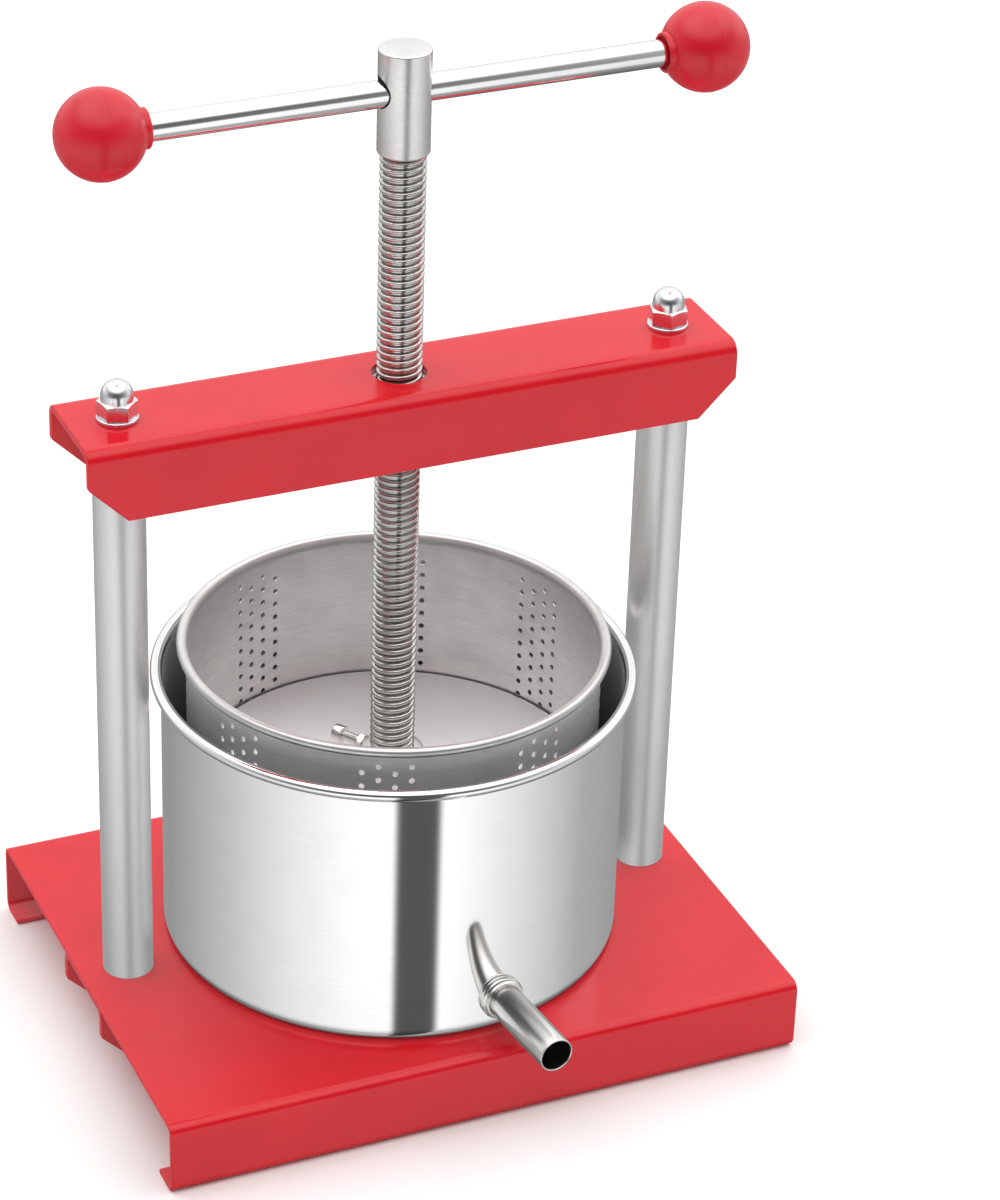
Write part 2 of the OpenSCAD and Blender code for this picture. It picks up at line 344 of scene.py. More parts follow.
def radius_of(tree):
    """Distance from the piece's own Z axis, in metres."""
    parts = node(tree, "ShaderNodeSeparateXYZ")
    tree.links.new(object_vector(tree), parts.inputs[0])
    return radius_from(tree, parts.outputs[0], parts.outputs[1])


def steel(name, dark, light, rough, brush, across, along, depth, anisotropy=0.0, blotch=60, metallic=1.0,
          dull_and_shaded=None):
    """Brushed or turned metal. brush is brushed_around or brushed_along, and rough is (least, most).

    The last argument is (least radius, largest radius, roughness added, painted shade, metallic) for one side
    of a wall, with the radii in metres. Its painted shade multiplies the colour on that side darker, standing
    in for the shade that side lies in.
    """
    material, tree, bsdf = shader(name)
    grain = noise_of(tree, brush(tree, across, along), 1.0, 3.0, 0.6)
    cloud = noise_of(tree, object_vector(tree), blotch, 2.0)
    tone = maths(tree, "ADD", maths(tree, "MULTIPLY", grain, 0.65), maths(tree, "MULTIPLY", cloud, 0.35))
    spread = remap(tree, tone, 0.0, 1.0, 0.3, 0.7)
    colour = mixed_colours(tree, spread, dark, light)
    tree.links.new(colour, bsdf.inputs["Base Color"])
    roughness = remap(tree, tone, rough[1], rough[0], 0.3, 0.7)
    bsdf.inputs["Metallic"].default_value = metallic
    if dull_and_shaded:
        inner, outer, rougher, painted_shade, dull_metallic = dull_and_shaded
        radius = radius_of(tree)
        part = maths(tree, "MULTIPLY", maths(tree, "GREATER_THAN", radius, inner),
                     maths(tree, "LESS_THAN", radius, outer))
        roughness = maths(tree, "ADD", roughness, maths(tree, "MULTIPLY", part, rougher))
        # Painted shade: inside the zone the colour is multiplied by the shade value, darkening that side of
        # the wall to stand in for the shade it lies in.
        painted_shade_mix = node(tree, "ShaderNodeMix", data_type="RGBA", blend_type="MULTIPLY")
        tree.links.new(part, painted_shade_mix.inputs[0])
        tree.links.new(colour, painted_shade_mix.inputs[COLOUR_A])
        painted_shade_mix.inputs[COLOUR_B].default_value = (painted_shade, painted_shade, painted_shade, 1)
        tree.links.new(remap(tree, part, metallic, dull_metallic), bsdf.inputs["Metallic"])
        tree.links.new(painted_shade_mix.outputs[COLOUR_OUT], bsdf.inputs["Base Color"])
    tree.links.new(roughness, bsdf.inputs["Roughness"])
    tree.links.new(bumped(tree, grain, depth), bsdf.inputs["Normal"])
    if anisotropy:
        tangent = node(tree, "ShaderNodeTangent", direction_type="RADIAL", axis="Z")
        tree.links.new(tangent.outputs[0], bsdf.inputs["Tangent"])
        bsdf.inputs["Anisotropic"].default_value = anisotropy
    return material


def enamel():
    """Glossy red stove enamel over folded sheet, with faint orange peel and dust."""
    material, tree, bsdf = shader("red_enamel")
    place_at = object_vector(tree)
    cloud = noise_of(tree, place_at, 22.0, 3.0)
    speck = noise_of(tree, place_at, 900.0, 2.0)
    peel = noise_of(tree, place_at, 260.0, 2.0)
    spread = remap(tree, cloud, 0, 1, 0.35, 0.65)
    colour = mixed_colours(tree, spread, (0.66, 0.002, 0.011), (0.72, 0.004, 0.015))
    tree.links.new(colour, bsdf.inputs["Base Color"])
    clouded = remap(tree, cloud, 0.17, 0.23, 0.3, 0.7)
    dust = remap(tree, speck, 0.0, 0.05, 0.55, 0.8)
    rough = maths(tree, "ADD", clouded, dust)
    tree.links.new(rough, bsdf.inputs["Roughness"])
    tree.links.new(bumped(tree, peel, 0.00001), bsdf.inputs["Normal"])
    bsdf.inputs["IOR"].default_value = 1.5
    return material


def knob_plastic():
    """Satin moulded plastic, with a pale sheen where it turns away."""
    material, tree, bsdf = shader("knob_plastic")
    place_at = object_vector(tree)
    cloud = noise_of(tree, place_at, 40.0, 2.0)
    grain = noise_of(tree, place_at, 2200.0, 2.0)
    spread = remap(tree, cloud, 0, 1, 0.35, 0.65)
    colour = mixed_colours(tree, spread, (0.60, 0.004, 0.018), (0.66, 0.007, 0.024))
    tree.links.new(colour, bsdf.inputs["Base Color"])
    tree.links.new(remap(tree, cloud, 0.27, 0.33, 0.3, 0.7), bsdf.inputs["Roughness"])
    tree.links.new(bumped(tree, grain, 0.00002), bsdf.inputs["Normal"])
    bsdf.inputs["IOR"].default_value = 1.5
    bsdf.inputs["Sheen Weight"].default_value = 0.35
    bsdf.inputs["Sheen Roughness"].default_value = 0.25
    bsdf.inputs["Sheen Tint"].default_value = (1.0, 0.45, 0.5, 1)
    bsdf.inputs["Subsurface Weight"].default_value = 0.08
    bsdf.inputs["Subsurface Radius"].default_value = (0.004, 0.001, 0.001)
    bsdf.inputs["Subsurface Scale"].default_value = 1.0
    return material


RED = enamel()
KNOB = knob_plastic()
# Pot: the inner wall is rougher, and its colour is painted 0.7 darker as painted shade for the narrow gap
# round the basket.
MIRROR = steel("mirror_steel", (0.84, 0.84, 0.85), (0.90, 0.90, 0.90), (0.07, 0.10),
               brushed_around, 2600, 6, 0.000002, dull_and_shaded=(0.09, 0.1137, 0.45, 0.7, 1.0))
BRUSHED = steel("brushed_steel", (0.60, 0.595, 0.59), (0.76, 0.755, 0.75), (0.34, 0.48),
                brushed_around, 1500, 5, 0.00002, anisotropy=0.6, dull_and_shaded=(0.1014, 0.1021, 0.25, 1.0, 0.35))
DISC = steel("disc_steel", (0.90, 0.90, 0.90), (0.98, 0.98, 0.98), (0.46, 0.60),
             brushed_around, 900, 3, 0.00003, anisotropy=0.5, metallic=0.6)
SATIN = steel("satin_tube", (0.84, 0.84, 0.845), (0.90, 0.90, 0.90), (0.42, 0.48),
              brushed_along, 2500, 60, 0.000004, blotch=25)
CHROME = steel("bright_bar", (0.84, 0.84, 0.85), (0.92, 0.92, 0.93), (0.10, 0.16),
               brushed_along, 900, 20, 0.000004)
ZINC = steel("zinc_steel", (0.70, 0.71, 0.74), (0.86, 0.87, 0.90), (0.16, 0.26),
             brushed_along, 1200, 300, 0.000004)
TURNED = steel("turned_steel", (0.72, 0.715, 0.705), (0.86, 0.855, 0.845), (0.24, 0.34),
               brushed_around, 3000, 4, 0.00002, anisotropy=0.5)
THREAD = steel("thread_steel", (0.46, 0.445, 0.43), (0.66, 0.65, 0.635), (0.15, 0.24),
               brushed_around, 1200, 12, 0.00001)
SPOUT = steel("spout_steel", (0.64, 0.62, 0.60), (0.80, 0.785, 0.76), (0.14, 0.24),
              brushed_along, 1500, 30, 0.00001)


# ---------------------------------------------------------------- stand

FOLD_STEPS = 8
BOLT_HOLE = 5.3


def bolt_holes(bottom, top):
    """Cutters for the tie bolts, one at each post."""
    holes = []
    for post_node in ("post_left", "post_right"):
        hole = rod(BOLT_HOLE, bottom, top)
        place(hole, (middle(post_node).x, 0, 0))
        holes.append(hole)
    return holes


def folded_sheet(outer, inner, x_low, x_high):
    """A sheet folded in Y and Z, given by its outer and inner outlines, drawn out along X."""
    bm = bmesh.new()
    outline = [bm.verts.new((x_low, y, z)) for y, z in outer]
    lining = [bm.verts.new((x_low, y, z)) for y, z in inner]
    faces = []
    for k in range(len(outer) - 1):
        faces.append(bm.faces.new((outline[k], outline[k + 1], lining[k + 1], lining[k])))
    drawn = bmesh.ops.extrude_face_region(bm, geom=faces, use_keep_orig=True)
    moved = [e for e in drawn["geom"] if isinstance(e, bmesh.types.BMVert)]
    bmesh.ops.translate(bm, vec=(x_high - x_low, 0, 0), verts=moved)
    bmesh.ops.recalc_face_normals(bm, faces=bm.faces)
    return bm


def base_plate():
    """A plate folded down at the front and back, with lips turned inwards."""
    thick, lip, bend = 2.5, 18.0, 5.0
    lo, hi = low("base_plate"), high("base_plate")
    outer = [(lo.y + lip, lo.z), (lo.y, lo.z), (lo.y, hi.z), (hi.y, hi.z), (hi.y, lo.z), (hi.y - lip, lo.z)]
    inner = [(lo.y + lip, lo.z + thick), (lo.y + thick, lo.z + thick), (lo.y + thick, hi.z - thick),
             (hi.y - thick, hi.z - thick), (hi.y - thick, lo.z + thick), (hi.y - lip, lo.z + thick)]
    bm = folded_sheet(rounded(outer, bend, FOLD_STEPS), rounded(inner, bend - thick, FOLD_STEPS), lo.x, hi.x)
    obj = make_object("stand_base", bm)
    cut(obj, *bolt_holes(hi.z - thick - 2, hi.z + 2))
    finish_mesh(obj)
    soften(obj, 0.5)
    return add_piece(obj, RED, "frame", "base_plate")


def cross_beam(name, source, screw_hole):
    """A channel with its web on top and its flanges cut at 45 degrees at both ends.

    screw_hole is the radius of the hole for the press screw, or 0.
    """
    thick, bend, corner = 4.0, 7.0, 19.0
    lo, hi = low(source), high(source)
    outer = [(lo.y, lo.z), (lo.y, hi.z), (hi.y, hi.z), (hi.y, lo.z)]
    inner = [(lo.y + thick, lo.z), (lo.y + thick, hi.z - thick),
             (hi.y - thick, hi.z - thick), (hi.y - thick, lo.z)]
    bm = folded_sheet(rounded(outer, bend, FOLD_STEPS), rounded(inner, bend - thick, FOLD_STEPS), lo.x, hi.x)
    for side in (-1, 1):
        edge = hi.x if side > 0 else lo.x
        everything = bm.verts[:] + bm.edges[:] + bm.faces[:]
        made = bmesh.ops.bisect_plane(bm, geom=everything, plane_co=(edge - side * corner, 0, lo.z),
                                      plane_no=(side, 0, -1), clear_outer=True)
        rim = [e for e in made["geom_cut"] if isinstance(e, bmesh.types.BMEdge)]
        bmesh.ops.holes_fill(bm, edges=rim, sides=0)
    bmesh.ops.recalc_face_normals(bm, faces=bm.faces)
    obj = make_object(name, bm)
    holes = []
    if screw_hole:
        holes.append(rod(screw_hole, hi.z - thick - 2, hi.z + 2))
    cut(obj, *holes, *bolt_holes(hi.z - thick - 2, hi.z + 2))
    finish_mesh(obj)
    soften(obj, 0.6)
    return add_piece(obj, RED, "frame", source)


def post(source):
    """Satin tube between the base and the upper beam."""
    lo, hi = low(source), high(source)
    radius, wall = (hi.x - lo.x) / 2, 2
    section = ring_profile(radius - wall, radius, 0, hi.z - lo.z, 0.3)
    obj = turned(source + "_tube", section, 96, closed=True)
    place(obj, (middle(source).x, middle(source).y, lo.z))
    return add_piece(obj, SATIN, "frame", source)


def screw_nut():
    """Bush under the upper beam's web, which the screw turns in."""
    lo, hi = low("screw_nut"), high("screw_nut")
    bore = (high("press_screw").x - low("press_screw").x) / 2 + 0.1
    radius = (hi.x - lo.x) / 2
    obj = turned("screw_bush", ring_profile(bore, radius, 0, hi.z - lo.z, 0.8), 96, closed=True)
    place(obj, (0, 0, lo.z))
    return add_piece(obj, TURNED, "frame", "screw_nut")


def washers(source, name):
    """A flat washer at each post, with the slight roll of a punched edge."""
    lo, hi = low(source), high(source)
    radius = hi.x - middle("post_right").x
    for side in ("left", "right"):
        section = ring_profile(BOLT_HOLE, radius, 0, hi.z - lo.z, 0.5)
        obj = turned(name + "_" + side, section, 72, closed=True)
        place(obj, (middle("post_" + side).x, 0, lo.z))
        add_piece(obj, ZINC, "frame", source)


def hex_radius(angle, flats):
    """Distance from the axis to the side of a hexagon whose flats face 30, 90... degrees."""
    return flats / 2 / math.cos((angle % (math.pi / 3)) - math.pi / 6)


def hex_rows(flats, bottom, top, chamfer):
    """(height, largest radius) rows of a hexagonal block chamfered at both ends."""
    corner = flats / 2 / math.cos(math.pi / 6)
    ring = flats / 2 * 0.985
    rows = []
    for k in range(5):
        rows.append((bottom + chamfer * k / 4, ring + (corner - ring) * k / 4))
    for k in range(5):
        rows.append((top - chamfer + chamfer * k / 4, corner - (corner - ring) * k / 4))
    return rows


NUT_STEPS = 96


def hex_block(flats, rows, closing):
    """A hexagon whose corners are turned off, followed by a turned profile on top of it."""
    bm = bmesh.new()
    turns = even_turns(NUT_STEPS)
    rings = []
    for height, limit in rows:
        reach = [min(limit, hex_radius(t, flats)) for t in turns]
        rings.append([(r * math.cos(t), r * math.sin(t), height) for r, t in zip(reach, turns)])
    for radius, height in closing:
        rings.append([(radius * math.cos(t), radius * math.sin(t), height) for t in turns])
    made = [[bm.verts.new(p) for p in ring] for ring in rings]
    for ring, above in zip(made, made[1:]):
        for k in range(NUT_STEPS):
            n = (k + 1) % NUT_STEPS
            bm.faces.new((ring[k], ring[n], above[n], above[k]))
    return bm, made


def turn_of(vert):
    return math.atan2(vert.co.y, vert.co.x) % (2 * math.pi)


def hollow_out(bm, bore, depth):
    """Lines a nut with its bore, and closes the face between the bore's mouth and the hexagon."""
    mouth_radius = bore + 0.6
    hollow = lathe([(mouth_radius, 0), (bore, 0.6), (bore, depth - 1), (0, depth)], even_turns(NUT_STEPS))
    hollow_mesh = bpy.data.meshes.new("hollow")
    hollow.to_mesh(hollow_mesh)
    hollow.free()
    bm.from_mesh(hollow_mesh)
    bpy.data.meshes.remove(hollow_mesh)
    mouth = [v for v in bm.verts if abs(v.co.z) < 1e-6]
    inner = sorted([v for v in mouth if v.co.xy.length < mouth_radius + 0.1], key=turn_of)
    outer = sorted([v for v in mouth if v.co.xy.length >= mouth_radius + 0.1], key=turn_of)
    for k in range(len(outer)):
        n = (k + 1) % len(outer)
        bm.faces.new((outer[k], outer[n], inner[n], inner[k]))


def cap_nut(side, turn):
    """Domed nut: a chamfered hexagon, a neck and a polished dome, hollow underneath."""
    flats, hexagon, chamfer, dome, bore, depth = 17.0, 8.0, 0.6, 7.8, 5.0, 13
    lo, hi = low("cap_nuts"), high("cap_nuts")
    height = hi.z - lo.z
    neck = [(dome + 0.5, hexagon), (dome + 0.05, hexagon + 0.25)]
    ball = arc((0, height - dome), dome, 0, 88, 14)
    bm, rings = hex_block(flats, hex_rows(flats, 0, hexagon, chamfer), neck + ball)
    tip = bm.verts.new((0, 0, height))
    last = rings[-1]
    for k in range(len(last)):
        bm.faces.new((last[k], last[(k + 1) % len(last)], tip))
    hollow_out(bm, bore, depth)
    bmesh.ops.recalc_face_normals(bm, faces=bm.faces)
    obj = make_object("cap_nut_" + side, bm)
    finish_mesh(obj, math.radians(14))
    place(obj, (middle("post_" + side).x, 0, lo.z), turn=turn)
    return add_piece(obj, ZINC, "frame", "cap_nuts")


# ---------------------------------------------------------------- pot and spout

POT_TURNS = 256
POT_WALL = 114.4
POT_T = 1.0
SPOUT_NECK = 8.5
FIT = 0.05


def rolled_rim(centre, bead, thick, wall_inner, wall_outer):
    """Section of a rim curled outwards, from the wall's inner face over the top and back outside."""
    drop = 3.2
    over = arc(centre, bead, 178, -140, 22)
    under = arc(centre, bead - thick, -140, 176, 18)
    start = [(wall_inner, centre[1] - drop), (wall_inner + 0.08, centre[1] - drop / 2)]
    end = [(wall_outer + 0.08, centre[1] - drop / 2), (wall_outer, centre[1] - drop)]
    return start + over + under + end


def pot():
    """Polished pot with a curled rim, and the hole for its spout."""
    wall, thick, corner, bead = POT_WALL, POT_T, 5.0, 2.9
    lo, hi = low("pot"), high("pot")
    rim_z = hi.z - bead
    straight_end = rim_z - 6
    spout_z = middle("spout_tube").z
    floor_z = lo.z + thick
    inside = rounded([(0, floor_z), (wall - thick, floor_z), (wall - thick, straight_end)], corner - thick, 8)
    outside = rounded([(wall, straight_end), (wall, lo.z), (0, lo.z)], corner, 8)
    near_spout = [spout_z + 13, spout_z - 11]
    outside[1:1] = [(wall, z) for z in near_spout]
    inside[-1:-1] = [(wall - thick, z) for z in reversed(near_spout)]
    rim = rolled_rim((hi.x - bead, rim_z), bead, thick, wall - thick, wall)
    floor_rings = 4
    inside[0:1] = [((wall - 12) * k / floor_rings, floor_z) for k in range(floor_rings)]
    bm = lathe(inside + rim + outside, even_turns(POT_TURNS))
    bmesh.ops.recalc_face_normals(bm, faces=bm.faces)
    obj = make_object("pot_shell", bm)
    hole = rod(SPOUT_NECK + FIT, wall - 6, wall + 6)
    place(hole, (0, 0, spout_z), axis=spout_axis())
    cut(obj, hole)
    finish_mesh(obj)
    return add_piece(obj, MIRROR, "pot_body", "pot")


def spout_axis():
    """Direction of the spout, out of the pot."""
    across = middle("spout_tube")
    return Vector((across.x, across.y, 0)).normalized()


def spout():
    """Tube with a bright rounded lip, whose thinner root passes through the pot's wall."""
    radius, thick, root, root_end = 8.75, 0.8, POT_WALL - 2, 6.7
    axis = spout_axis()
    z = middle("spout_tube").z
    far = -low("spout_tube").y
    length = (far - radius * axis.x) / -axis.y - root
    lip = arc((radius - thick / 2, length - thick / 2), thick / 2, 0, 180, 8)
    profile = [(SPOUT_NECK, 0), (SPOUT_NECK, root_end), (radius - 0.1, root_end + 0.05),
               (radius, root_end + 0.3), (radius, length - 6)]
    profile += lip + [(radius - thick, length - 6), (radius - thick, 0)]
    obj = turned("spout_pipe", profile, 96, closed=True)
    place(obj, tuple(axis * root + Vector((0, 0, z))), axis=axis)
    return add_piece(obj, SPOUT, "pot_body", "spout_tube")


def spout_collar():
    """The two-step ring at the spout's root, whose back follows the pot's wall."""
    axis = spout_axis()
    flange, step, start = 11.2, 10.1, POT_WALL - 0.8
    bore = SPOUT_NECK + FIT
    section = [(bore, 0), (flange - 0.3, 0), (flange, 1.4), (flange, 3.0), (step + 0.1, 3.6), (step, 3.9),
               (step + 0.35, 4.5), (step, 5.2), (bore + 0.3, 5.4), (bore, 5.2)]
    path = rounded(section + [section[0]], [0, 0.3, 0.5, 0.5, 0.2, 0.3, 0.3, 0.2, 0], 3)[:-1]
    ring = turned("spout_ring", path, 96, closed=True)
    place(ring, tuple(axis * start + Vector((0, 0, middle("spout_tube").z))), axis=axis)
    cut(ring, rod(POT_WALL + FIT, 20, 120, POT_TURNS))
    finish_mesh(ring, math.radians(45))
    return add_piece(ring, SPOUT, "pot_body", "spout_collar")


# ---------------------------------------------------------------- basket

BASKET_WALL = 101.8
BASKET_T = 0.8
STRIPS = 8
STRIP_TURN = math.radians(21)
COLUMNS = 4
COLUMN_TURN = math.radians(4.45)
HOLE_ROWS = 18
HOLE_PITCH = 7.5
HOLE_R = 1.4
GAP_STEPS = 14
CELL = 4


def basket_turns():
    """Angles round the basket: four steps across each column of holes, wider ones between the strips."""
    turns = []
    strip = 2 * math.pi / STRIPS
    gap = strip - COLUMNS * COLUMN_TURN
    for s in range(STRIPS):
        start = STRIP_TURN + s * strip - COLUMNS * COLUMN_TURN / 2
        turns += [start + COLUMN_TURN * k / CELL for k in range(COLUMNS * CELL)]
        turns += [start + COLUMNS * COLUMN_TURN + gap * k / GAP_STEPS for k in range(GAP_STEPS)]
    return turns


def hole_cells():
    """(first angle step, first row step) of each cell that holds a hole."""
    per_strip = COLUMNS * CELL + GAP_STEPS
    cells = []
    for s in range(STRIPS):
        for column in range(COLUMNS):
            drop = CELL // 2 if column % 2 == 0 else 0
            for row in range(HOLE_ROWS):
                cells.append((s * per_strip + column * CELL, drop + row * CELL))
    return cells


def perforated_wall(bm, turns, top_z):
    """The two faces of the wall where the holes are, with a raised lip round each hole outside."""
    rows = HOLE_ROWS * CELL + CELL // 2
    step_z = HOLE_PITCH / CELL
    count = len(turns)
    grid = {}

    def corner(face, i, k):
        """Vertex of the outer (0) or inner (1) face at angle step i and row step k."""
        key = (face, i % count, k)
        if key not in grid:
            radius = BASKET_WALL - face * BASKET_T
            turn = turns[i % count]
            grid[key] = bm.verts.new((radius * math.cos(turn), radius * math.sin(turn), top_z - k * step_z))
        return grid[key]

    def around(i, k):
        """The cell's edge as steps from its corner, once round."""
        edge = [(n, 0) for n in range(CELL)] + [(CELL, n) for n in range(CELL)]
        edge += [(CELL - n, CELL) for n in range(CELL)] + [(0, CELL - n) for n in range(CELL)]
        return [(i + a, k + b) for a, b in edge]

    taken = set()
    # (radius round the hole's axis, height over the outer face), from outside to inside
    lip = [(1.95, 0.0), (1.72, 0.12), (1.52, 0.14), (HOLE_R + 0.03, 0.05), (HOLE_R, -0.05),
           (HOLE_R, -BASKET_T + 0.04), (HOLE_R + 0.06, -BASKET_T)]
    for i, k in hole_cells():
        taken.update((i + a, k + b) for a in range(CELL) for b in range(CELL))
        turn = turns[i] + COLUMN_TURN / 2
        z = top_z - (k + CELL / 2) * step_z
        edge = around(i, k)
        loops = [[corner(0, *step) for step in edge]]
        angles = []
        for a, b in edge:
            angles.append(math.atan2((CELL / 2 - (b - k)) * step_z,
                                     (a - i - CELL / 2) * COLUMN_TURN / CELL * BASKET_WALL))
        for radius, rise in lip:
            ring = []
            for angle in angles:
                t = turn + radius * math.cos(angle) / BASKET_WALL
                r = BASKET_WALL + rise
                ring.append(bm.verts.new((r * math.cos(t), r * math.sin(t), z + radius * math.sin(angle))))
            loops.append(ring)
        loops.append([corner(1, *step) for step in edge])
        for first, second in zip(loops, loops[1:]):
            for n in range(len(edge)):
                m = (n + 1) % len(edge)
                bm.faces.new((first[n], first[m], second[m], second[n]))
    for face in (0, 1):
        for i in range(count):
            for k in range(rows):
                if (i, k) not in taken:
                    bm.faces.new((corner(face, i, k), corner(face, i + 1, k),
                                  corner(face, i + 1, k + 1), corner(face, i, k + 1)))
    return top_z - rows * step_z


def basket():
    """Perforated basket with a curled rim and a closed bottom."""
    bead, corner = 2.5, 4.0
    lo, hi = low("basket"), high("basket")
    rim_z = hi.z - bead
    top_z = rim_z - 9.7 + HOLE_PITCH / 2
    inner = BASKET_WALL - BASKET_T
    turns = basket_turns()
    bm = bmesh.new()
    bottom_z = perforated_wall(bm, turns, top_z)
    rim = rolled_rim((hi.x - bead, rim_z), bead, BASKET_T, inner, BASKET_WALL)
    lathe([(inner, top_z)] + rim + [(BASKET_WALL, top_z)], turns, bm=bm)
    floor_z = lo.z + BASKET_T
    floor_inside = rounded([(0, floor_z), (inner, floor_z), (inner, bottom_z)], corner - BASKET_T, 6)
    floor_outside = rounded([(BASKET_WALL, bottom_z), (BASKET_WALL, lo.z), (0, lo.z)], corner, 6)
    lathe(floor_inside, turns, bm=bm)
    lathe(floor_outside, turns, bm=bm)
    bmesh.ops.remove_doubles(bm, verts=bm.verts, dist=0.002)
    bmesh.ops.recalc_face_normals(bm, faces=bm.faces)
    obj = make_object("basket_shell", bm)
    finish_mesh(obj, math.radians(25))
    return add_piece(obj, BRUSHED, "basket_body", "basket")


# ---------------------------------------------------------------- disc, hub and their screw

def press_disc():
    """Flat round plate with a softened edge."""
    lo, hi = low("press_disc"), high("press_disc")
    radius, soft = hi.x, 0.6
    rings = [(radius * k / 6, hi.z) for k in range(6)]
    last = radius * 5 / 6
    edge = rounded([(last, hi.z), (radius, hi.z), (radius, lo.z), (last, lo.z)], soft, 3)
    under = [(radius * k / 6, lo.z) for k in range(4, -1, -1)]
    obj = turned("press_plate_disc", rings[:-1] + edge + under, 192)
    return add_piece(obj, DISC, "press_plate", "press_disc")


JOURNAL = 8.0
KEEPER_SHANK = 2.5


def keeper_axis():
    """Direction of the retaining screw, outwards."""
    across = middle("lock_nut")
    return Vector((across.x, across.y, 0)).normalized()


def disc_hub():
    """Turned hub, drilled for its retaining screw."""
    lo, hi = low("disc_hub"), high("disc_hub")
    radius, bore = hi.x, JOURNAL + FIT
    height = hi.z - lo.z
    outline = [(bore, 0), (radius, 0), (radius, height), (bore, height)]
    path = rounded([((bore + radius) / 2, 0)] + outline[1:] + [outline[0], ((bore + radius) / 2, 0)],
                   [0.1, 0.9, 0.5, 0.1], 3)[:-1]
    obj = turned("hub_ring", path, 128, closed=True)
    drill = rod(KEEPER_SHANK + FIT, 2, radius + 4, 32)
    place(drill, (0, 0, middle("lock_nut").z - lo.z), axis=keeper_axis())
    cut(obj, drill)
    finish_mesh(obj)
    place(obj, (0, 0, lo.z))
    return add_piece(obj, TURNED, "press_plate", "disc_hub")


def helix(bm, profile, pitch, z_low, z_high, steps):
    """A helical thread. profile is (part of the pitch, radius) along one pitch, starting at 0."""
    along = len(profile)
    first = math.floor(z_low / pitch) - 1
    last = math.ceil(z_high / pitch) + 1
    columns = []
    for k in range(steps):
        turn = 2 * math.pi * k / steps
        column = []
        for n in range(first, last):
            for part, radius in profile:
                z = (n + part + k / steps) * pitch
                column.append(bm.verts.new((radius * math.cos(turn), radius * math.sin(turn), z)))
        columns.append(column)
    for k in range(steps):
        here, after = columns[k], columns[(k + 1) % steps]
        shift = along if k == steps - 1 else 0
        for n in range(len(here) - 1):
            m = n + shift
            if m + 1 < len(after):
                bm.faces.new((here[n], after[m], after[m + 1], here[n + 1]))
    for z, side in ((z_low, -1), (z_high, 1)):
        everything = bm.verts[:] + bm.edges[:] + bm.faces[:]
        made = bmesh.ops.bisect_plane(bm, geom=everything, plane_co=(0, 0, z), plane_no=(0, 0, side),
                                      clear_outer=True)
        rim = [e for e in made["geom_cut"] if isinstance(e, bmesh.types.BMEdge)]
        bmesh.ops.holes_fill(bm, edges=rim, sides=0)


def press_screw():
    """Right-hand screw with rounded ridges and deep grooves, and a grooved journal that turns in the hub."""
    crest, root, pitch = high("press_screw").x, high("press_screw").x - 1.9, 3.75
    z_low, z_high = high("disc_hub").z + 0.3, low("screw_head").z
    ridge = [(0.0, root), (0.10, root), (0.20, root + 0.95), (0.28, crest - 0.28), (0.36, crest - 0.06),
             (0.46, crest), (0.54, crest), (0.64, crest - 0.06), (0.72, crest - 0.28), (0.80, root + 0.95),
             (0.90, root)]
    bm = bmesh.new()
    helix(bm, ridge, pitch, z_low, z_high, 72)
    foot, groove, half_width, keeper = JOURNAL, 6.3, 2.8, middle("lock_nut").z
    base, journal_top = low("press_screw").z, z_low - 0.05
    journal = [(0, base), (foot - 1, base), (foot, base + 1), (foot, keeper - half_width),
               (groove, keeper - half_width), (groove, keeper + half_width), (foot, keeper + half_width),
               (foot, journal_top), (0, journal_top)]
    lathe(journal, even_turns(64), bm=bm)
    bmesh.ops.recalc_face_normals(bm, faces=bm.faces)
    obj = make_object("thread_rod", bm)
    finish_mesh(obj, math.radians(60))
    return add_piece(obj, THREAD, "spindle", "press_screw")


def retaining_screw():
    """Socket-head screw with a fine thread on its shank."""
    head_start, head_h, head_r, shank, socket_r = 29.5, 5.5, 4.25, KEEPER_SHANK, 2.2
    axis, z = keeper_axis(), middle("lock_nut").z
    tip = 6.6
    ridges = []
    pitch = 0.8
    count = int((head_start - 1.0 - tip) / pitch)
    for n in range(count):
        start = tip + 0.6 + n * pitch
        ridges += [(shank - 0.22, start), (shank - 0.02, start + 0.25), (shank - 0.02, start + 0.42)]
    under_head = (shank - 0.1, head_start)
    body = [(0, tip), (shank - 0.5, tip), (shank - 0.22, tip + 0.5)] + ridges + [under_head]
    top = head_start + head_h
    head = rounded([under_head, (head_r, head_start), (head_r, top), (socket_r, top)], 0.45, 4)
    socket = [(socket_r, top - 2.4), (0, top - 2.6)]
    obj = turned("retaining_socket_screw", [(r, h - tip) for r, h in body + head[1:] + socket], 48)
    place(obj, tuple(axis * tip + Vector((0, 0, z))), axis=axis)
    return add_piece(obj, SPOUT, "press_plate", "retaining_screw")


# ---------------------------------------------------------------- head, bar and knobs

def screw_head():
    """Turned head, cross-drilled for the bar."""
    lo, hi = low("screw_head"), high("screw_head")
    radius, height = hi.x, hi.z - lo.z
    bore, drop = 7.7, 0.9
    path = rounded([(0, 0), (radius, 0), (radius, height), (0, height)], [0.9, 0.9], 4)
    obj = turned("head_block", path, 160)
    hole = rod(bore, -30, 30, 96)
    place(hole, (0, 0, middle("handle_bar").z + drop - lo.z), axis=(1, 0, 0))
    cut(obj, hole)
    finish_mesh(obj)
    bevel = obj.modifiers.new("bore_edge", "BEVEL")
    bevel.width = 0.35 * MM
    bevel.segments = 2
    bevel.limit_method = "ANGLE"
    bevel.angle_limit = math.radians(45)
    place(obj, (0, 0, lo.z))
    return add_piece(obj, TURNED, "spindle", "screw_head")


